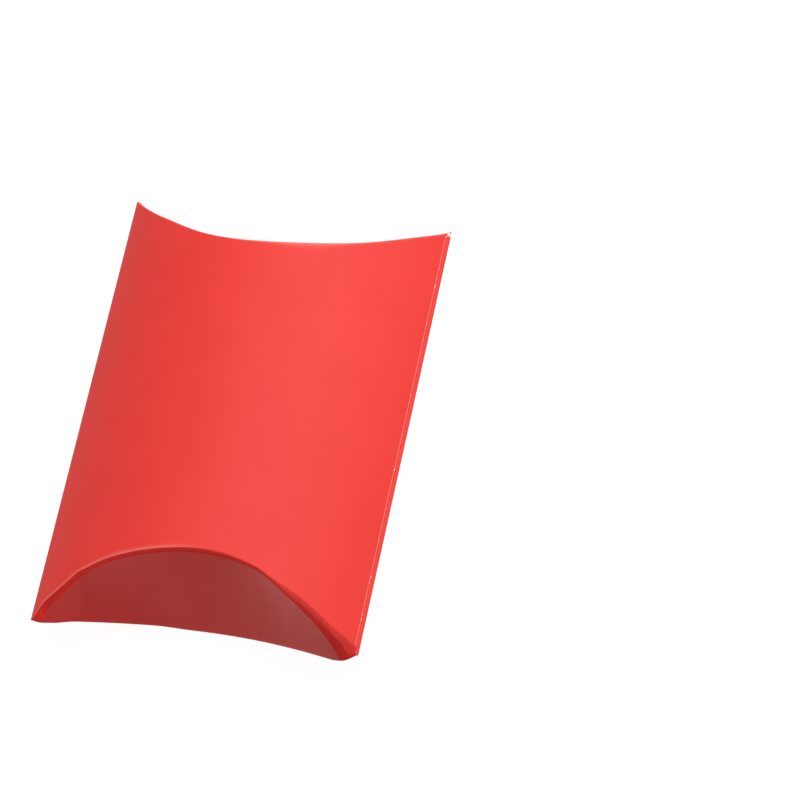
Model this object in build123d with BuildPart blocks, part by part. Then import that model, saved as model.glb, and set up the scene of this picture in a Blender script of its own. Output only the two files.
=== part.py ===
from build123d import *
import os
from math import acos, atan2, cos, sin

# Pillow box folded from one sheet of card: two arched panels, a glued seam along one side,
# and at each end a curved inner flap under a curved outer flap.
# Millimetres. X runs across the box with the seam on +X, Y along it, Z up.
# The box lies on its back panel, and the origin is under its middle.

# The whole box
length = 90.0  # from tip to tip along a side fold
width = 65.0  # between the side folds
height = 25.0  # over both crowns
card = 0.35  # thickness of the sheet
front_crease_depth = 12.5  # from the line of the tips in to the middle of a front crease
back_crease_depth = 6.0  # the same on the back panel
clearance = 0.3  # between a flap and what it passes

# The glued seam
seam_step = 0.8  # from the side fold to the front panel's cut edge, along the arch
tab_width = 11.0  # from the side fold to the tab's free edge, along the arch
tab_end_setback = 2.0  # from a tip of the box to the tab's end, at the fold
tab_end_taper = 9.0  # how much further in the tab's end is at its free edge
glue = 0.1  # thickness of the glue
glue_width = 7.0
glue_side_margin = 1.6  # from the front panel's cut edge to the glue, along the arch
glue_end_margin = 16.0  # from a tip of the box to the end of the glue

# The outer flaps
outer_free_edge_drop = 0.3  # from the front crown down to the flap's free edge
outer_tip_inset = 1.0  # from a side fold in to the flap's side tip
outer_tip_round = 1.5

# The inner flaps
inner_free_edge_gap = 1.0  # from the back panel's inside up to the flap's free edge
inner_tip_inset = 3.5
inner_tip_round = 1.5
notch_width = 16.0  # thumb notch, where it opens in the free edge
notch_depth = 5.0

overrun = 5.0  # how far a cutting solid reaches past what it cuts

os.makedirs("parts", exist_ok=True)

# Both arches stand on the plane of the side folds
fold_x = width / 2
fold_z = height / 2
arch_radius = (fold_x**2 + fold_z**2) / (2 * fold_z)
arch_inside = arch_radius - card
tab_outside = arch_inside - glue
tab_inside = tab_outside - card
front_centre_z = height - arch_radius
back_centre_z = arch_radius

# Seen from above, the tips lie on the line of the side folds' ends
tip_y = length / 2
front_tip_y = tip_y - card - clearance
front_crown_y = tip_y - front_crease_depth
outer_top_y = front_crown_y + card + clearance
outer_bottom_y = tip_y - back_crease_depth
outer_middle_y = (outer_top_y + outer_bottom_y) / 2
outer_lean = atan2(outer_bottom_y - outer_top_y, height)


def radius_through(half_chord, rise):
    """Radius of the arc with this half chord and this rise."""
    return (half_chord**2 + rise**2) / (2 * rise)


def fold_angle(radius):
    """Angle from the crown at which the front arch of this radius reaches the plane of the folds."""
    return acos((fold_z - front_centre_z) / radius)


def arch_point(radius, angle):
    """Point of the front arch's section, at an angle from the crown towards the seam."""
    return Vector(radius * sin(angle), front_centre_z + radius * cos(angle))


def arch_arc(radius, start, end):
    """Draws an arc of the front arch's section between two angles."""
    ThreePointArc(arch_point(radius, start), arch_point(radius, (start + end) / 2), arch_point(radius, end))


def end_plan(end, tip, crown, sheet=0):
    """Plan of the hollow in an end of the box. Given a sheet thickness, the plan of a flap that lines it."""
    radius = radius_through(fold_x, tip - crown)
    with BuildSketch(Plane.XY.offset(fold_z)) as plan:
        with Locations((0, end * (crown + radius))):
            if sheet:
                Circle(radius + sheet)
                Circle(radius, mode=Mode.SUBTRACT)
            else:
                Circle(radius)
    return plan.sketch


def outer_slant(end):
    """Direction of the outer flap's wall from the back crease up to the front crease."""
    return (0, end * (outer_top_y - outer_bottom_y), height)


seam_angle = fold_angle(arch_radius) - seam_step / arch_radius
tab_edge_angle = fold_angle(arch_radius) - tab_width / arch_radius
glue_start_angle = seam_angle - glue_side_margin / arch_radius
glue_end_angle = glue_start_angle - glue_width / arch_radius
ends = {"near": -1, "far": 1}

# Front panel: from the left fold over the crown to the cut edge beside the right fold
with BuildPart() as front_panel:
    with BuildSketch(Plane.XZ):
        with BuildLine():
            arch_arc(arch_radius, -fold_angle(arch_radius), seam_angle)
            Line(arch_point(arch_radius, seam_angle), arch_point(arch_inside, seam_angle))
            arch_arc(arch_inside, seam_angle, -fold_angle(arch_inside))
            Line(arch_point(arch_inside, -fold_angle(arch_inside)), arch_point(arch_radius, -fold_angle(arch_radius)))
        make_face()
    extrude(amount=tip_y, both=True)
    for end in ends.values():
        extrude(end_plan(end, front_tip_y, front_crown_y), amount=height, both=True, mode=Mode.SUBTRACT)
front_panel.part.label = "front_panel"
export_step(front_panel.part, "parts/front_panel.step")

# Back panel: the lower arch, cut at its ends along the wall of the outer flaps
with BuildPart() as back_panel:
    with BuildSketch(Plane.XZ):
        with Locations((0, back_centre_z)):
            Circle(arch_radius)
            Circle(arch_inside, mode=Mode.SUBTRACT)
        Rectangle(width, fold_z, align=(Align.CENTER, Align.MIN), mode=Mode.INTERSECT)
    extrude(amount=tip_y, both=True)
    for end in ends.values():
        cut = end_plan(end, tip_y, outer_middle_y)
        extrude(cut, amount=height, dir=outer_slant(end), both=True, mode=Mode.SUBTRACT)
back_panel.part.label = "back_panel"
export_step(back_panel.part, "parts/back_panel.step")

# Glue tab: a lip of full height at the right fold, then a strip under the front panel
with BuildPart() as glue_tab:
    with BuildSketch(Plane.XZ):
        with BuildLine():
            arch_arc(tab_outside, tab_edge_angle, seam_angle)
            Line(arch_point(tab_outside, seam_angle), arch_point(arch_radius, seam_angle))
            arch_arc(arch_radius, seam_angle, fold_angle(arch_radius))
            Line(arch_point(arch_radius, fold_angle(arch_radius)), arch_point(tab_inside, fold_angle(tab_inside)))
            arch_arc(tab_inside, fold_angle(tab_inside), tab_edge_angle)
            Line(arch_point(tab_inside, tab_edge_angle), arch_point(tab_outside, tab_edge_angle))
        make_face()
    extrude(amount=tip_y, both=True)
    tab_free_x = arch_point(tab_inside, tab_edge_angle).X
    fold_end_y = tip_y - tab_end_setback
    free_end_y = fold_end_y - tab_end_taper
    with BuildSketch(Plane.XY):
        with BuildLine():
            Polyline(
                (fold_x, -fold_end_y),
                (fold_x, fold_end_y),
                (tab_free_x, free_end_y),
                (tab_free_x, -free_end_y),
                close=True,
            )
        make_face()
    extrude(amount=height, mode=Mode.INTERSECT)
glue_tab.part.label = "glue_tab"
export_step(glue_tab.part, "parts/glue_tab.step")

# Glue between the tab and the front panel
with BuildPart() as seam_glue:
    with BuildSketch(Plane.XZ):
        with BuildLine():
            arch_arc(arch_inside, glue_end_angle, glue_start_angle)
            Line(arch_point(arch_inside, glue_start_angle), arch_point(tab_outside, glue_start_angle))
            arch_arc(tab_outside, glue_start_angle, glue_end_angle)
            Line(arch_point(tab_outside, glue_end_angle), arch_point(arch_inside, glue_end_angle))
        make_face()
    extrude(amount=tip_y - glue_end_margin, both=True)
seam_glue.part.label = "seam_glue"
export_step(seam_glue.part, "parts/seam_glue.step")

# Outline of an outer flap: the back panel's arch below, its own free edge above
outer_edge_rise = fold_z - outer_free_edge_drop
outer_edge_radius = radius_through(fold_x - outer_tip_inset, outer_edge_rise)
with BuildSketch(Plane.XZ) as outer_outline:
    with Locations((0, back_centre_z)):
        Circle(arch_inside - clearance)
    with Locations((0, fold_z + outer_edge_rise - outer_edge_radius)):
        Circle(outer_edge_radius, mode=Mode.INTERSECT)
    fillet(outer_outline.vertices(), outer_tip_round)

# Outline of an inner flap: the front panel's arch above, its own notched free edge below
inner_edge_z = card + inner_free_edge_gap
inner_edge_rise = fold_z - inner_edge_z
inner_edge_radius = radius_through(fold_x - inner_tip_inset, inner_edge_rise)
notch_radius = radius_through(notch_width / 2, notch_depth)
with BuildSketch(Plane.XZ) as inner_outline:
    with Locations((0, front_centre_z)):
        Circle(arch_inside - clearance)
    with Locations((0, inner_edge_z + inner_edge_radius)):
        Circle(inner_edge_radius, mode=Mode.INTERSECT)
    fillet(inner_outline.vertices(), inner_tip_round)
    with Locations((0, inner_edge_z + notch_depth - notch_radius)):
        Circle(notch_radius, mode=Mode.SUBTRACT)

for end_name, end in ends.items():
    # Outer flap: leans in from the back crease and rests just outside the front crease
    with BuildPart() as outer_flap:
        wall = end_plan(end, tip_y, outer_middle_y, card / cos(outer_lean))
        extrude(wall, amount=height, dir=outer_slant(end), both=True)
        extrude(outer_outline.sketch, amount=-end * (tip_y + overrun), mode=Mode.INTERSECT)
    outer_flap.part.label = f"{end_name}_outer_flap"
    export_step(outer_flap.part, f"parts/{end_name}_outer_flap.step")

    # Inner flap: hangs plumb from the front crease
    with BuildPart() as inner_flap:
        extrude(end_plan(end, front_tip_y, front_crown_y, card), amount=height, both=True)
        extrude(inner_outline.sketch, amount=-end * (tip_y + overrun), mode=Mode.INTERSECT)
    inner_flap.part.label = f"{end_name}_inner_flap"
    export_step(inner_flap.part, f"parts/{end_name}_inner_flap.step")
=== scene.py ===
import math

import bmesh
import bpy
import numpy as np
from mathutils import Matrix, Vector


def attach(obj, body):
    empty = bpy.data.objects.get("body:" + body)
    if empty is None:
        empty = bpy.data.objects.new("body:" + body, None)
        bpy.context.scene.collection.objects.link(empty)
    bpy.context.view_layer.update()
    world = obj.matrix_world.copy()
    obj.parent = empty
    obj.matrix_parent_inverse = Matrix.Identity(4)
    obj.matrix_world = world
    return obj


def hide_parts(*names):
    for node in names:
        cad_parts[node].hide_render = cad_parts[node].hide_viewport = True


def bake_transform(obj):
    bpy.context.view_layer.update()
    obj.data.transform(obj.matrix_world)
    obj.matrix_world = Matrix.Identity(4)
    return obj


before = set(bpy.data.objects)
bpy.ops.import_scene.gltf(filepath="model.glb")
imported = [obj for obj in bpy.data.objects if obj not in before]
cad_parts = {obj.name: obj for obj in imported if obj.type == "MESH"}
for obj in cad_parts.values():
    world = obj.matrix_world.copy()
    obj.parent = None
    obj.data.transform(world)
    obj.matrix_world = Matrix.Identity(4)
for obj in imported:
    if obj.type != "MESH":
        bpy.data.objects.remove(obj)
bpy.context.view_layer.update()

# Red pillow box: one die-cut sheet of thin card, coated red outside, bare and white inside.
# The sheet is built in millimetres in the CAD frame: X across, the seam on +X, Y along, Z up.
MM = 0.001
TOP, BOTTOM = 1, -1
NEAR, FAR = -1, 1

# The whole box
LENGTH = 90.0
WIDTH = 65.0
HEIGHT = 25.0
CARD = 0.35  # thickness of the sheet
GLUE = 0.1  # thickness of the glue under the seam
FOLD_ROUND = 0.45  # outer radius of the side folds

# The creases
FRONT_DEPTH = 12.5  # from the line of the tips in to the crown of a front crease
BACK_DEPTH = 5.85
CREASE_ROUND = 0.45  # how far the card rolls over at a crease
SPLIT = 0.8  # from a crease's roll in to where the flap's piece starts
SPLIT_RISE = 2.0  # height of the arch under which that grows less
FLATTEST = 0.9  # how flat a bevel gets: 0 is round, 1 is flat

# The seam
CUT_EDGE_X = 31.95  # where the front panel's cut edge lies
CUT_BEVEL = 0.15  # how much of the cut edge is crushed
CUT_WEAR = 0.22  # width of the worn line beside it
DIP_ROUND = 0.35  # radius with which the tab dips under the front panel
TAB_WIDTH = 11.0
TAB_SETBACK = 2.0  # from the ends of the fold to the tab's ends
TAB_SETBACK_LENGTH = 3.0  # over which the tab's ends draw in by that
TAB_TAPER = 9.0
FAR_SETBACK = 0.6  # from the far tip to the fold's cut end, which bares the front panel's edge
FAR_CHIP = 1.0  # length of that edge without coat

# The inner flaps
NOTCH_WIDTH = 16.0
NOTCH_DEPTH = 5.0
INNER_GAP = 1.0  # from the back panel's inside up to an inner flap's free edge
GAP_END = 17.0  # from the middle to where the gap starts to close
GAP_END_LENGTH = 9.0  # over which it closes
HANG = 6.0  # from the middle to where an inner flap starts to follow the end's wall
HANG_LENGTH = 8.0  # over which it gets there
INNER_PINCH = 2.5  # height under which an inner flap's tip is pinched shut

# The outer flaps
OUTER_TIPS = {NEAR: (-31.3, 28.9), FAR: (-31.5, 31.5)}  # X of their side tips
TIP_LENGTH = 0.8  # over which a tip closes
NEAR_EDGE_DROP = 1.0  # from the front arch down to the near one's free edge
FAR_EDGE_RISE = 12.2  # from the plane of the folds up to the far one's free edge
FAR_EDGE_RADIUS = 46.77
FAR_EDGE_DROP = 0.9  # the least from the front arch down to it
EDGE_TAPER = 1.2  # height over which an outer flap thins to its free edge, where it is pressed flat
EDGE_LEFT = 0.06  # what is left of the card's thickness there
FULL_BELOW = 2.0  # height under which an outer flap keeps more of its thickness
PROUD = 0.03  # how far an outer flap's free edge stands out from the end's wall
OUTER_PINCH = 1.5  # height under which its tip is pinched shut

# The ends' walls
PLUMB = (-28, 6, 31, 4)  # band in which the wall is plumb down to the outer flap's free edge
LEAST_WALL = 0.5  # least height over which the wall leans

# Wear of the coat, with the painted shade, painted highlights and painted sheen that share its attribute
# PAINTED_SHADE marks painted shade: a deeper, matt red in the crevices under the front creases.
PAINTED_SHADE, CHIPPED, GONE = -1, 1, 2
FOLD_WEAR = 0.1  # along the left side fold
SHADE_REACH = 0.8  # height over which the painted shade, a deeper red, beside a front crease fades
SHADE_UNDER = 0.3  # how far under an outer flap's free edge it starts to
SHADE_ROWS = 3  # rows of the mesh over which it starts
SHADE_FROM = {NEAR: (8, 4), FAR: (15, 0)}  # row where it starts, and how much later on a bevel
PALE_LINE_ROWS = {  # row of a crease's palest line, stretched coat and painted highlight, how much later on a bevel, and its spread
    (NEAR, TOP): (4.4, 0, 2.2),
    (FAR, TOP): (8, 4.5, 3.5),
    (NEAR, BOTTOM): (10, 0, 2.2),
    (FAR, BOTTOM): (10, 0, 2.2),
}

# Marks of the real box, across it, and where painted highlight, shade and sheen lie on it. A hump has an
# amount, its middle and its spread. A step has an amount, the place where it starts and the length that it
# takes, which is negative towards -X.
LEFT_TIP_OUT = 0.8  # how far the near left tip stands out
RIGHT_TIP_IN = 0.5
FRONT_SIDE = 29.5  # from the middle to where the near front crease turns to its tips
BACK_SIDE = 27.3  # and the near back crease
BACK_SIDE_LENGTH = 5.0  # over which it gets there
NEAR_FRONT_IN = 0.25  # how far all of it lies in
SWING = (0.33, 14, 7)  # the near front crease's turn from the left part to the right one, as a step
KINK = (0.35, -23.3, 1.8)  # and the kink in its left part, as a hump with straight sides
NEAR_FRONT = {"humps": ((0.4, -20, 6.5), (-0.4, -28, 3.2)), "steps": ((-0.4, 6, -14), (-1.0, 12, 7))}
NEAR_BACK = {"humps": ((-0.28, -27.9, 1.5), (0.2, -30.2, 0.9))}
NEAR_BACK_X = -1.0  # middle of the near back crease
NEAR_BACK_HALF = 29.5  # half the width of its curve
NEAR_BACK_OUT = 0.3
NEAR_BACK_BAND = (-12, 8, 29, 3)  # where it stands out by that
FAR_FRONT = {"humps": ((1.07, 8, 15), (0.36, -22, 6), (0.4, 26, 6))}
FAR_FRONT_IN = 0.05  # how far all of it lies in
FAR_BACK = {"humps": ((-0.4, -30, 3),)}
ROLL_ALONG = {
    (NEAR, TOP): {"steps": ((0.55, 13, 6), (0.8, 27, 4))},
    (FAR, TOP): {"humps": ((1.4, 9, 6),)},
}
ROLL_DOWN = {
    (NEAR, TOP): {"steps": ((0.1, 14, 10), (0.6, 27, 4))},
    (FAR, TOP): {"humps": ((0.15, 9, 6),)},
}
RIGHT_ROLL = {"steps": ((0.6, 20, 11),)}  # how much further than the arch is high a roll may reach
BEVEL = {NEAR: {"steps": ((1, 14, 6),)}, FAR: {"humps": ((1, 9, 7),)}}
# Where the front creases show a pale line: stretched coat and a painted highlight along the roll.
CREASE_WEAR_AND_HIGHLIGHT = {
    (NEAR, TOP): {"steps": ((1, 4, -10),)},
    (FAR, TOP): {"humps": ((0.3, 0, 3),), "steps": ((0.7, -9, 5),)},
}
BACK_WEAR = {"steps": ((0.3, 10, 6),)}  # from the middle, to both sides
NEAR_EDGE_SKEW = {"steps": ((0.7, -20, -4), (0.4, -29, -2), (5.2, 16, 13))}
LEANING = {"steps": ((0.6, 12, 8),)}  # how much less plumb the end's wall is on the right
HOLLOW = {"steps": ((0.45, 4, 12),)}  # how hollow the wall is, from the middle to both sides
RUBBED_AND_SHEEN = {"steps": ((0.25, 2, 12),)}  # paler towards the right of the near outer flap: rubbed coat and painted sheen
SHADE_EDGE = {"steps": ((1, 12, -6),)}  # and where painted shade, a deeper red, lies along its free edge under the front crease

# Steps of the meshes
ARCH_STEPS = 110
FOLD_STEPS = 10
RIGHT_FOLD_STEPS = 16
TAB_STEPS = 24
CUT_STEPS = 3
LONG_STEPS = 70
FAR_ROWS = (1, 0.995, 0.99)  # of the sleeve's length, close together at its far end
ROWS_FROM = 0.98  # where its even rows start
LEAD_STEPS = 4  # from the split line to a crease's roll
ROLL_STEPS = 13
LIP_STEPS = 4  # round an outer flap's free edge
FLAP_STEPS = 40
FLAP_COLUMNS = 150
COLUMNS_BUNCH = 0.35  # how much closer together a flap's columns are towards its tips
ROWS_BUNCH = 1.5  # power by which an inner flap's rows are closer together at its crease
MERGE = 0.001  # distance at which two points of a mesh become one
SHARP = math.radians(40)  # angle from which an edge is shaded as sharp
TINY = 1e-12  # keeps a division by zero away
SMALL = 1e-7  # size of a grid's face under which it has no normal of its own

HALF = HEIGHT / 2
TIP = LENGTH / 2
CHORD = WIDTH / 2 - FOLD_ROUND
ARCH = (CHORD**2 + HALF**2 - FOLD_ROUND**2) / (2 * (HALF - FOLD_ROUND))
FOLD_ANGLE = math.asin(CHORD / (ARCH - FOLD_ROUND))
FOLD_X = ARCH * math.sin(FOLD_ANGLE)


def ease(t):
    """0 to 1 with a soft start and end."""
    t = np.clip(t, 0, 1)
    return t * t * (3 - 2 * t)


def hump(x, middle, spread):
    return np.exp(-(((x - middle) / spread) ** 2))


def step(x, start, length):
    """0 to 1 from a place on, over a length. With a negative length it runs towards -X."""
    return ease((x - start) / length)


def band(x, start, start_length, stop, stop_length):
    """1 between two places, with a soft start and stop of these lengths inside them."""
    return step(x, start, start_length) * step(x, stop, -stop_length)


def marks(x, humps=(), steps=()):
    """Sum of some marks across the box."""
    total = 0.0
    for amount, middle, spread in humps:
        total = total + amount * hump(x, middle, spread)
    for amount, start, length in steps:
        total = total + amount * step(x, start, length)
    return total


def rise(x):
    """Height of either arch over the plane of the folds."""
    return np.sqrt(np.maximum(ARCH**2 - np.square(x), 0)) - (ARCH - HALF)


def near_tip(x):
    """Y of the near end's two tips."""
    return np.where(x < 0, -TIP - LEFT_TIP_OUT, -TIP + RIGHT_TIP_IN)


def near_front(x):
    """Y of the near front crease. It kinks on the left, and its right part runs a little long."""
    turn, turn_x, turn_length = SWING
    kink, kink_x, kink_reach = KINK
    y = -TIP + rise(x) * FRONT_DEPTH / HALF
    y = y + NEAR_FRONT_IN - turn * np.tanh((x - turn_x) / turn_length)
    y = y + kink * np.maximum(0, 1 - np.abs(x - kink_x) / kink_reach)
    y = y + marks(x, **NEAR_FRONT)
    side = np.clip((np.abs(x) - FRONT_SIDE) / (CUT_EDGE_X - FRONT_SIDE), 0, 1)
    return y + (near_tip(x) - y) * side**2


def near_back(x):
    """Y of the near back crease. Its middle stands out, and it bends sharply at its left end."""
    y = -TIP + BACK_DEPTH * (1 - ((x - NEAR_BACK_X) / NEAR_BACK_HALF) ** 2)
    y = y - NEAR_BACK_OUT * band(x, *NEAR_BACK_BAND) + marks(x, **NEAR_BACK)
    return y + (near_tip(x) - y) * step(np.abs(x), BACK_SIDE, BACK_SIDE_LENGTH)


def far_front(x):
    return TIP - rise(x) * FRONT_DEPTH / HALF - FAR_FRONT_IN + marks(x, **FAR_FRONT)


def far_back(x):
    return TIP - BACK_DEPTH * (1 - (x / FOLD_X) ** 2) + marks(x, **FAR_BACK)


CREASE = {
    (NEAR, TOP): near_front,
    (NEAR, BOTTOM): near_back,
    (FAR, TOP): far_front,
    (FAR, BOTTOM): far_back,
}


def roll_size(end, side, x):
    """How far a crease's roll reaches in along the panel, and down."""
    along = CREASE_ROUND + marks(x, **ROLL_ALONG.get((end, side), {}))
    down = CREASE_ROUND + marks(x, **ROLL_DOWN.get((end, side), {}))
    room = rise(x)
    return np.minimum(along, room + marks(x, **RIGHT_ROLL)), np.minimum(down, room)


def flatness(end, side, x):
    """How far a crease is pressed to a flat bevel, 0 to 1. Each front crease is at one place."""
    if side == BOTTOM:
        return np.zeros_like(x)
    return marks(x, **BEVEL[end])


def split_line(end, side, x):
    """Y where the sleeve ends and a flap's piece starts."""
    along, _ = roll_size(end, side, x)
    room = ease(rise(x) / SPLIT_RISE)
    return CREASE[end, side](x) - end * (along + SPLIT * room)


def arch_section(first, last, steps, side, radius=ARCH):
    """Points and normals of a piece of either arch's section, between two angles from its crown."""
    angle = np.linspace(first, last, steps)
    x = radius * np.sin(angle)
    z = HALF + side * (radius * np.cos(angle) - (ARCH - HALF))
    return np.stack([x, z, np.sin(angle), side * np.cos(angle)], 1)


def round_section(x, z, radius, first, last, steps):
    """The same of a roll round a centre, by the direction of its normal from +X."""
    angle = np.linspace(first, last, steps)
    turn = np.stack([np.cos(angle), np.sin(angle)], 1)
    return np.concatenate([[x, z] + radius * turn, turn], 1)


def dip_centre(under):
    """Centre of the bend between the right fold's roll and the tab, whose outer radius is given."""
    middle = np.array([0, HALF - (ARCH - HALF)])
    fold = np.array([CHORD, HALF])
    reach = FOLD_ROUND + DIP_ROUND
    gap = np.linalg.norm(fold - middle)
    out = (fold - middle) / gap
    back_along = np.array([-out[1], out[0]])
    far = under + DIP_ROUND
    along = (far**2 - reach**2 + gap**2) / (2 * gap)
    return middle + out * along + back_along * math.sqrt(far**2 - along**2), middle, fold


def sleeve_section():
    """Section of the whole sheet, from the front's cut edge over the left fold to the tab's free edge."""
    lean = math.pi / 2 - FOLD_ANGLE
    cut = math.asin(CUT_EDGE_X / ARCH)
    coat_marks = cut - (CUT_BEVEL + CUT_WEAR) / ARCH
    front = arch_section(coat_marks, -FOLD_ANGLE, ARCH_STEPS, TOP)
    line = arch_section(cut - CUT_BEVEL / ARCH, coat_marks, CUT_STEPS, TOP)
    bevelled = arch_section(cut, cut, 1, TOP)
    bevelled[:, :2] -= CUT_BEVEL * bevelled[:, 2:]
    front = np.concatenate([bevelled, line[:-1], front])
    left = round_section(-CHORD, HALF, FOLD_ROUND, math.pi - lean, math.pi + lean, FOLD_STEPS)
    back = arch_section(-FOLD_ANGLE, FOLD_ANGLE, ARCH_STEPS, BOTTOM)
    under = ARCH - CARD - GLUE
    dip, middle, fold = dip_centre(under)
    top = math.atan2(*(dip - fold)[::-1])
    bend_in = math.atan2(*(middle - dip)[::-1]) + 2 * math.pi
    right = round_section(CHORD, HALF, FOLD_ROUND, -lean, top, RIGHT_FOLD_STEPS)
    bend = round_section(*dip, DIP_ROUND, top + math.pi, bend_in, FOLD_STEPS)
    bend[:, 2:] *= -1
    start = math.atan2(*(dip - middle))
    tab = arch_section(start, FOLD_ANGLE - TAB_WIDTH / under, TAB_STEPS, TOP, under)
    parts = [front, left[1:], back[1:], right[1:], bend[1:], tab[1:]]
    names = ["front", "left", "back", "right", "dip", "tab"]
    label = np.concatenate([np.full(len(p), names[i]) for i, p in enumerate(parts)])
    return np.concatenate(parts), label


def sleeve_ends(section, label, end):
    """Y of the sleeve's end at each point of its section."""
    x = section[:, 0]
    y = np.empty(len(x))
    for side, name in ((TOP, "front"), (BOTTOM, "back")):
        here = label == name
        y[here] = split_line(end, side, x[here])
    left = label == "left"
    left_x = np.array([-FOLD_X])
    high = split_line(end, TOP, left_x)[0]
    low = split_line(end, BOTTOM, left_x)[0]
    corner = CREASE[end, BOTTOM](left_x)[0]
    y[left] = np.linspace(high, low, left.sum() + 2)[1:-1]
    y[left] += (corner - low) * np.sin(np.linspace(0, math.pi, left.sum()))
    right = np.isin(label, ["right", "dip", "tab"])
    edge = CREASE[end, BOTTOM](np.array([FOLD_X]))[0]
    edge = edge - (FAR_SETBACK if end == FAR else 0)
    inward = np.maximum(0, CHORD - x[right]) / (CHORD - x[-1])
    set_in = TAB_SETBACK * step(x[right], CUT_EDGE_X, -TAB_SETBACK_LENGTH)
    y[right] = edge - end * (set_in + TAB_TAPER * inward)
    return y


def grid_normals(points):
    """Normals of a grid of points, from its rows and columns."""
    rows = np.gradient(points, axis=0)
    columns = np.gradient(points, axis=1)
    normals = np.cross(rows, columns)
    size = np.linalg.norm(normals, axis=2, keepdims=True)
    normals = normals / np.maximum(size, TINY)
    for row in range(1, len(points)):
        flat = size[row, :, 0] < SMALL
        normals[row, flat] = normals[row - 1, flat]
    return normals


def card_mesh(name, outer, normals, coat_marks, thickness=CARD, pressed=None, shut=None):
    """A closed sheet of card from the grid of its coated face. Slot 0 is coated, 1 bare, 2 the cut edge.

    The coat is pressed over the edge at the grid's last column, on the rows marked as pressed. The columns
    marked as shut are a flap's tips: the card is pinched there, with no white at its last row or inside.
    """
    rows, columns, _ = outer.shape
    inner = outer - thickness * normals
    count = rows * columns
    index = np.arange(count).reshape(rows, columns)
    a, b = index[:-1, :-1].ravel(), index[1:, :-1].ravel()
    c, d = index[1:, 1:].ravel(), index[:-1, 1:].ravel()
    coated = np.stack([a, b, c, d], 1)
    bare = np.stack([d, c, b, a], 1) + count
    ring = np.concatenate([index[0, :-1], index[:-1, -1], index[-1, :0:-1], index[:0:-1, 0]])
    following = np.roll(ring, -1)
    rim = np.stack([ring, following, following + count, ring + count], 1)
    points = np.concatenate([outer.reshape(-1, 3), inner.reshape(-1, 3)])
    faces = np.concatenate([coated, bare, rim])
    edge = np.full(len(rim), 2)
    inside = np.ones((rows - 1, columns - 1))
    if pressed is not None:
        edge[columns - 1 : columns + rows - 2][pressed[:-1]] = 0
    if shut is not None:
        edge[columns + rows - 2 : 2 * columns + rows - 3][shut[:0:-1]] = 0
        inside[:, shut[1:]] = 0
    slots = np.concatenate([np.zeros(len(coated)), inside.ravel(), edge])
    mesh = bpy.data.meshes.new(name)
    mesh.from_pydata((points * MM).tolist(), [], faces.tolist())
    mesh.polygons.foreach_set("material_index", slots.astype(np.int32))
    place = mesh.attributes.new("place", "FLOAT_VECTOR", "POINT")
    place.data.foreach_set("vector", points.astype(np.float32).ravel())
    depth = mesh.attributes.new("depth", "FLOAT", "POINT")
    depth.data.foreach_set("value", np.repeat([0.0, 1.0], count).astype(np.float32))
    # The attribute holds wear of the coat together with painted shade, painted highlights and painted
    # sheen.
    wear_and_painted_light = mesh.attributes.new("wear_and_painted_light", "FLOAT", "POINT")
    wear_and_painted_light.data.foreach_set("value", np.concatenate([coat_marks.ravel(), np.zeros(count)]).astype(np.float32))
    whole = bmesh.new()
    whole.from_mesh(mesh)
    bmesh.ops.remove_doubles(whole, verts=whole.verts, dist=MERGE * MM)
    whole.to_mesh(mesh)
    whole.free()
    mesh.shade_smooth()
    mesh.set_sharp_from_angle(angle=SHARP)
    piece = bpy.data.objects.new(name, mesh)
    bpy.context.scene.collection.objects.link(piece)
    for material in (coated_card(), bare_card(), cut_edge()):
        mesh.materials.append(material)
    return piece


def sleeve():
    """Front panel, back panel and glue tab, one sheet bent round two folds."""
    section, label = sleeve_section()
    near = sleeve_ends(section, label, NEAR)
    far = sleeve_ends(section, label, FAR)
    t = np.concatenate([FAR_ROWS, np.linspace(ROWS_FROM, 0, LONG_STEPS)])
    y = near[:, None] + (far - near)[:, None] * t
    outer = np.empty((*y.shape, 3))
    outer[:, :, 0] = section[:, :1]
    outer[:, :, 1] = y
    outer[:, :, 2] = section[:, 1:2]
    normals = np.zeros_like(outer)
    normals[:, :, 0] = section[:, 2:3]
    normals[:, :, 2] = section[:, 3:4]
    coat_marks = np.zeros(outer.shape[:2])
    coat_marks[:CUT_STEPS] = np.where(y[:CUT_STEPS] > TIP - FAR_SETBACK - FAR_CHIP, GONE, CHIPPED)
    coat_marks[label == "left"] = FOLD_WEAR
    coat_marks[label == "right", :2] = GONE
    thickness = np.full((len(section), 1, 1), CARD)
    thickness[0] = CARD - CUT_BEVEL
    pressed = np.isin(label, ["left", "right", "dip"])
    piece = card_mesh("sleeve", outer, normals, coat_marks, thickness, pressed)
    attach(piece, "sleeve")
    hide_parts("front_panel", "back_panel", "glue_tab")
    return piece


def crease_columns(end, side, x):
    """For each x, the rows from the split line over the crease's roll."""
    along, down = roll_size(end, side, x)
    corner = CREASE[end, side](x)
    z = HALF + side * rise(x)
    start = split_line(end, side, x)
    rows = []
    for t in np.linspace(0, 1, LEAD_STEPS)[:-1]:
        y = start + (corner - end * along - start) * t
        rows.append(np.stack([x, y, z], 1))
    power = 2 / (2 - FLATTEST * flatness(end, side, x))
    for t in np.linspace(0, math.pi / 2, ROLL_STEPS):
        y = corner - end * along * (1 - math.sin(t) ** power)
        rows.append(np.stack([x, y, z - side * down * (1 - abs(math.cos(t)) ** power)], 1))
    return rows


def crease_wear_and_highlight(end, side, x):
    """How pale a crease's line is, 0 to 1: stretched coat, and on the front creases also a painted
    highlight along the roll.
    """
    if side == BOTTOM:
        return marks(np.abs(x), **BACK_WEAR)
    return marks(x, **CREASE_WEAR_AND_HIGHLIGHT[end, side])


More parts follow.
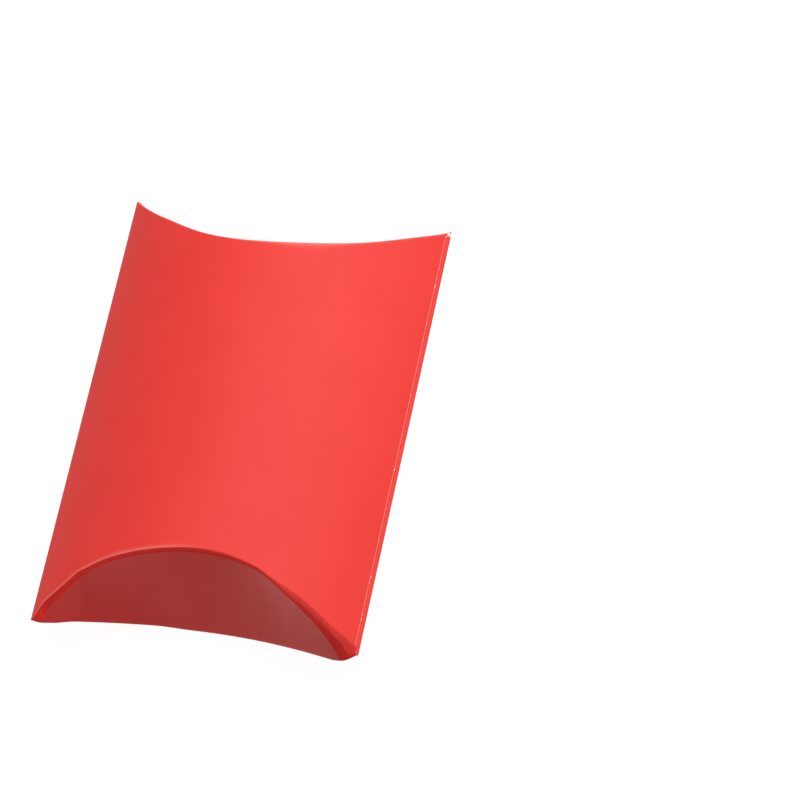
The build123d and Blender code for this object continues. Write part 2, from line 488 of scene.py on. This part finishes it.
def inner_edge(x):
    """Height of an inner flap's free edge, with its thumb notch. Its tips touch the back panel."""
    gap = INNER_GAP * (1 - step(np.abs(x), GAP_END, GAP_END_LENGTH))
    edge = HALF - rise(x) + CARD + gap
    notch = (NOTCH_WIDTH**2 / 4 + NOTCH_DEPTH**2) / (2 * NOTCH_DEPTH)
    inside = np.sqrt(np.maximum(notch**2 - np.square(x), 0)) - (notch - NOTCH_DEPTH)
    return np.maximum(edge, CARD + INNER_GAP + inside)


def outer_edge(end, x):
    """Height of an outer flap's free edge over the table. The near one sits a little skew."""
    arch = HALF + rise(x)
    if end == NEAR:
        return arch - (NEAR_EDGE_DROP + marks(x, **NEAR_EDGE_SKEW))
    edge = HALF + FAR_EDGE_RISE - FAR_EDGE_RADIUS + np.sqrt(FAR_EDGE_RADIUS**2 - np.square(x))
    return np.minimum(edge, arch - FAR_EDGE_DROP)


def end_wall(end, x, z):
    """Y of an end's wall at a height. In the middle it is plumb down to the outer flap's free edge."""
    _, down = roll_size(end, BOTTOM, x)
    low = HALF - rise(x) + down
    plumb = band(x, *PLUMB) * (1 - marks(x, **LEANING))
    top = HALF + rise(x)
    top = top + (outer_edge(end, x) - top) * plumb
    share = np.clip((top - z) / np.maximum(top - low, LEAST_WALL), 0, 1)
    hollow = marks(np.abs(x), **HOLLOW)
    share = share * (1 - hollow + hollow * share)
    front = CREASE[end, TOP](x)
    return front + (CREASE[end, BOTTOM](x) - front) * share


def flap_x(knots, right=FOLD_X):
    """X of a flap's columns, closer together towards its tips."""
    angle = np.linspace(-math.pi / 2, math.pi / 2, FLAP_COLUMNS)
    even = angle / math.pi * 2
    x = FOLD_X * (np.sin(angle) * COLUMNS_BUNCH + even * (1 - COLUMNS_BUNCH))
    return np.unique(np.minimum(np.concatenate([x, knots]), right))


def inner_flap(name, end):
    """Hangs from the front crease, plumb in its middle and along the end's wall at its sides."""
    x = flap_x((-NOTCH_WIDTH / 2, NOTCH_WIDTH / 2), CUT_EDGE_X)
    rows = crease_columns(end, TOP, x)
    last = rows[-1]
    bottom = np.minimum(inner_edge(x), last[:, 2])
    edge = outer_edge(end, x)
    share = step(np.abs(x), HANG, HANG_LENGTH)
    for t in np.linspace(0, 1, FLAP_STEPS)[1:]:
        z = last[:, 2] + (bottom - last[:, 2]) * t**ROWS_BUNCH
        room = CARD * np.clip((edge - z) / EDGE_TAPER, 0, 1)
        wall = end_wall(end, x, z) - end * room
        rows.append(np.stack([x, last[:, 1] + (wall - last[:, 1]) * share, z], 1))
    rows = np.stack(rows)
    # Painted shade: a deeper red on the inner flap below the crease's roll, fading out under the outer
    # flap's free edge.
    first, later = SHADE_FROM[end]
    past = np.arange(len(rows))[:, None] - (first + later * flatness(end, TOP, x))
    hidden = edge - rows[:, :, 2]
    shade_share = ease(past / SHADE_ROWS) * (1 - step(hidden, SHADE_UNDER, SHADE_REACH))
    pinched = last[:, 2] - bottom < INNER_PINCH
    return flap_piece(name, end, TOP, rows, PAINTED_SHADE * shade_share, CARD, pinched)


def outer_flap(name, end):
    """Leans in from the back crease along the end's wall. Its free edge is thinned and turned in."""
    tips = OUTER_TIPS[end]
    x = flap_x(tips)
    rows = crease_columns(end, BOTTOM, x)
    last = rows[-1]
    inside = band(x, tips[0], TIP_LENGTH, tips[1], TIP_LENGTH)
    tall = np.maximum((outer_edge(end, x) - last[:, 2]) * inside, 0)
    lip = np.minimum(EDGE_LEFT, tall / 2)
    turns = np.linspace(0, math.pi / 2, LIP_STEPS)[1:]
    levels = [(tall - lip) * t for t in np.linspace(0, 1, FLAP_STEPS)[1:]]
    levels += [tall - lip + lip * math.sin(t) for t in turns]
    cuts = [0] * (FLAP_STEPS - 1) + [1 - math.cos(t) for t in turns]
    thickness = [np.full(len(x), CARD)] * len(rows)
    # Paler towards the right: rubbed coat and painted sheen. On the left, painted shade, a deeper red,
    # along the free edge.
    rubbed_and_sheen = marks(x, **RUBBED_AND_SHEEN) * (end == NEAR)
    shade_edge = marks(x, **SHADE_EDGE) * (end == NEAR)
    wear_and_painted_light = [rubbed_and_sheen] * len(rows)
    for level, cut in zip(levels, cuts):
        z = last[:, 2] + level
        y = end_wall(end, x, z) + end * (PROUD * ease(level) - lip * cut)
        rows.append(np.stack([x, y, z], 1))
        full = np.clip((tall - level) / EDGE_TAPER, 0, 1)
        full = np.maximum(full, 1 - tall / FULL_BELOW)
        thickness.append(EDGE_LEFT + (CARD - EDGE_LEFT) * full)
        # Painted shade, strongest at the free edge under the crease.
        shaded = np.clip(1 - (tall - level) / SHADE_REACH, 0, 1)
        wear_and_painted_light.append(rubbed_and_sheen + PAINTED_SHADE * shaded * shade_edge)
    thickness = np.stack(thickness)[:, :, None]
    pinched = tall < OUTER_PINCH
    return flap_piece(name, end, BOTTOM, np.stack(rows), np.stack(wear_and_painted_light), thickness, pinched)


def flap_piece(name, end, side, outer, wear_and_painted_light, thickness, pinched):
    """Makes a flap's piece and blends it to the sleeve at its crease."""
    x = outer[0, :, 0]
    # The crease's pale line: stretched coat and a painted highlight.
    row, later, spread = PALE_LINE_ROWS[end, side]
    line = hump(np.arange(len(outer))[:, None], row + later * flatness(end, side, x), spread)
    coat_marks = line * crease_wear_and_highlight(end, side, x) + wear_and_painted_light
    if end * side > 0:
        outer = outer[:, ::-1]
        coat_marks = coat_marks[:, ::-1]
        pinched = pinched[::-1]
        thickness = thickness[:, ::-1] if np.ndim(thickness) else thickness
    normals = grid_normals(outer)
    piece = card_mesh(name, outer, normals, coat_marks, thickness, shut=pinched)
    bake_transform(piece)
    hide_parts(name)
    return piece


def new_material(name):
    material = bpy.data.materials.new(name)
    material.use_nodes = True
    nodes = material.node_tree.nodes
    nodes.clear()
    shader = nodes.new("ShaderNodeBsdfPrincipled")
    output = nodes.new("ShaderNodeOutputMaterial")
    material.node_tree.links.new(shader.outputs["BSDF"], output.inputs["Surface"])
    return material, shader


def add(material, kind, inputs=None, **settings):
    """Adds a node, with its settings and inputs. An input is a value or another node's output."""
    node = material.node_tree.nodes.new("ShaderNode" + kind)
    for key, value in settings.items():
        setattr(node, key, value)
    for key, value in (inputs or {}).items():
        plug(material, value, node.inputs[key])
    return node


def plug(material, value, socket):
    """Gives a socket a value or another node's output."""
    if isinstance(value, bpy.types.NodeSocket):
        material.node_tree.links.new(value, socket)
    else:
        socket.default_value = value


def maths(material, operation, a, b):
    return add(material, "Math", {0: a, 1: b}, operation=operation).outputs["Value"]


def spots(material, scale, detail=3, rough=0.5):
    """Noise at a scale in features per metre, fixed to the sheet."""
    place = add(material, "Attribute", attribute_name="place")
    inputs = {"Vector": place.outputs["Vector"], "Scale": scale * MM, "Detail": detail, "Roughness": rough}
    return add(material, "TexNoise", inputs).outputs["Fac"]


def attribute(material, name):
    return add(material, "Attribute", attribute_name=name).outputs["Fac"]


def remap(material, value, low, high, to_low, to_high):
    inputs = {"Value": value, "From Min": low, "From Max": high, "To Min": to_low, "To Max": to_high}
    return add(material, "MapRange", inputs).outputs["Result"]


def mix_colour(material, share, a, b):
    node = add(material, "Mix", data_type="RGBA")
    for key, value in (("Factor", share), ("A", a), ("B", b)):
        plug(material, value, [s for s in node.inputs if s.name == key and s.enabled][0])
    return [s for s in node.outputs if s.enabled][0]


def finish_surface(material, shader, colour, roughness, grain, distance, strength):
    """Connects a surface's colour, its roughness and the bump of its grain, of a depth in millimetres."""
    plug(material, colour, shader.inputs["Base Color"])
    plug(material, roughness, shader.inputs["Roughness"])
    bump = add(material, "Bump", {"Height": grain, "Distance": distance * MM, "Strength": strength})
    plug(material, bump.outputs["Normal"], shader.inputs["Normal"])


def once(make):
    """Keeps the one material that a function makes."""
    made = []

    def give():
        if not made:
            made.append(make())
        return made[0]

    return give


@once
def coated_card():
    """Satin red coating on card: faint fibre under it, lighter along the creases, where the coat is
    stretched and a highlight is painted.

    Its attribute is 0 on the panels, -1 where painted shade makes it a deeper, matt red in the crevices
    under the front creases, up to 1 on the pale crease lines, the painted sheen and the chips, and 2 where
    the coat is gone.
    """
    m, shader = new_material("coated_card")
    red = (0.78, 0.052, 0.043, 1)
    uneven_red = (0.72, 0.044, 0.037, 1)
    # Deeper red for painted shade under the front creases.
    shade_red = (0.93, 0.036, 0.03, 1)
    # Pale red of stretched coat and chips, and of painted highlights and painted sheen.
    stretched_and_lit = (0.98, 0.31, 0.27, 1)
    core = (0.92, 0.85, 0.78, 1)
    wear_and_painted_light = attribute(m, "wear_and_painted_light")
    # Painted shade: deeper red, and matt, where the attribute is below 0.
    shade_and_matt = remap(m, wear_and_painted_light, PAINTED_SHADE, 0, 1, 0)
    colour = mix_colour(m, remap(m, spots(m, 90, 4), 0.35, 0.65, 0, 0.35), red, uneven_red)
    colour = mix_colour(m, shade_and_matt, colour, shade_red)
    uneven = remap(m, spots(m, 900, 5, 0.7), 0.35, 0.65, 0.6, 1)
    # Lighter towards pale red: stretched coat, chips, painted highlights and painted sheen.
    amount = remap(m, maths(m, "MULTIPLY", wear_and_painted_light, uneven), 0, 1, 0, 0.6)
    colour = mix_colour(m, amount, colour, stretched_and_lit)
    chips = remap(m, spots(m, 1100, 3, 0.6), 0.6, 0.66, 0, 1)
    chips = maths(m, "MULTIPLY", remap(m, wear_and_painted_light, 0.98, CHIPPED, 0, 1), chips)
    bare = maths(m, "MAXIMUM", chips, remap(m, wear_and_painted_light, 1.2, GONE, 0, 1))
    colour = mix_colour(m, bare, colour, core)
    satin = remap(m, spots(m, 1500, 3), 0.3, 0.7, 0.4, 0.5)
    roughness = maths(m, "MAXIMUM", satin, shade_and_matt)
    finish_surface(m, shader, colour, roughness, spots(m, 2600, 4, 0.6), 0.02, 0.35)
    shader.inputs["Specular IOR Level"].default_value = 0.09
    return m


@once
def bare_card():
    """The uncoated side: slightly warm white board with short fibres."""
    m, shader = new_material("bare_card")
    colour = mix_colour(m, spots(m, 1200, 5, 0.7), (0.80, 0.78, 0.73, 1), (0.88, 0.87, 0.84, 1))
    matt = remap(m, spots(m, 800, 3), 0.3, 0.7, 0.75, 0.9)
    finish_surface(m, shader, colour, matt, spots(m, 2200, 5, 0.7), 0.03, 0.5)
    shader.inputs["Specular IOR Level"].default_value = 0.25
    return m


@once
def cut_edge():
    """The die-cut edge: white core under a thin red coat, with loose fibres."""
    m, shader = new_material("cut_edge")
    coat = (0.75, 0.07, 0.06, 1)
    frayed = maths(m, "MULTIPLY", spots(m, 3000, 4, 0.7), 0.25)
    shifted = maths(m, "SUBTRACT", attribute(m, "depth"), frayed)
    core = mix_colour(m, spots(m, 4000, 4, 0.7), (0.74, 0.70, 0.64, 1), (0.90, 0.88, 0.83, 1))
    colour = mix_colour(m, remap(m, shifted, 0.0, 0.06, 0, 1), coat, core)
    finish_surface(m, shader, colour, 0.85, spots(m, 5000, 4, 0.7), 0.03, 0.6)
    return m


@once
def dried_glue():
    """Thin film of dried white glue, uneven where the card pressed it out."""
    m, shader = new_material("dried_glue")
    colour = mix_colour(m, spots(m, 700, 4), (0.86, 0.82, 0.72, 1), (0.78, 0.72, 0.60, 1))
    gloss = remap(m, spots(m, 500, 3), 0.3, 0.7, 0.3, 0.6)
    finish_surface(m, shader, colour, gloss, spots(m, 900, 3), 0.05, 0.5)
    return m


@once
def white_floor():
    """Plain white sweep under the box."""
    m, shader = new_material("white_floor")
    shader.inputs["Base Color"].default_value = (0.07, 0.07, 0.07, 1)
    shader.inputs["Roughness"].default_value = 0.9
    shader.inputs["Specular IOR Level"].default_value = 0.0
    shader.inputs["Emission Color"].default_value = (1, 1, 1, 1)
    shader.inputs["Emission Strength"].default_value = 0.97
    return m


def floor():
    size = 3.0
    mesh = bpy.data.meshes.new("floor")
    corners = [(-size, -size, 0), (size, -size, 0), (size, size, 0), (-size, size, 0)]
    mesh.from_pydata(corners, [], [(0, 1, 2, 3)])
    mesh.materials.append(white_floor())
    plane = bpy.data.objects.new("floor", mesh)
    bpy.context.scene.collection.objects.link(plane)


def area_light(name, place, aim, size, power):
    """A square lamp, in metres and watts, turned to the point that it is aimed at."""
    light = bpy.data.lights.new(name, "AREA")
    light.shape = "RECTANGLE"
    light.size = size
    light.size_y = size
    light.energy = power
    lamp = bpy.data.objects.new(name, light)
    lamp.location = place
    lamp.rotation_euler = (Vector(aim) - Vector(place)).to_track_quat("-Z", "Y").to_euler()
    bpy.context.scene.collection.objects.link(lamp)


def lights():
    area_light("overhead", place=(0.24, 0.6, 1.0), aim=(0, 0, 0.02), size=1.2, power=24.0)
    world = bpy.data.worlds.new("studio")
    world.use_nodes = True
    background = world.node_tree.nodes["Background"]
    background.inputs["Color"].default_value = (1, 1, 1, 1)
    background.inputs["Strength"].default_value = 0.05
    bpy.context.scene.world = world


def camera():
    """The photograph's viewpoint: a long lens from above the near right corner."""
    right = Vector((0.96143518, 0.20088153, -0.1878537))
    up = Vector((-0.10671699, 0.90198819, 0.41836442))
    back = Vector((0.2534835, -0.38218309, 0.88864065))
    place = Vector((231.414, -296.028, 719.881)) * MM
    data = bpy.data.cameras.new("camera")
    data.lens = 186.23
    data.sensor_width = 36
    data.clip_start = 0.05
    data.clip_end = 20
    eye = bpy.data.objects.new("camera", data)
    eye.matrix_world = Matrix.Translation(place) @ Matrix((right, up, back)).transposed().to_4x4()
    bpy.context.scene.collection.objects.link(eye)
    bpy.context.scene.camera = eye


sleeve()
inner_flap("near_inner_flap", NEAR)
inner_flap("far_inner_flap", FAR)
outer_flap("near_outer_flap", NEAR)
outer_flap("far_outer_flap", FAR)
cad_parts["seam_glue"].data.materials.clear()
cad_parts["seam_glue"].data.materials.append(dried_glue())
floor()
lights()
camera()
bpy.context.scene.view_settings.view_transform = "Standard"
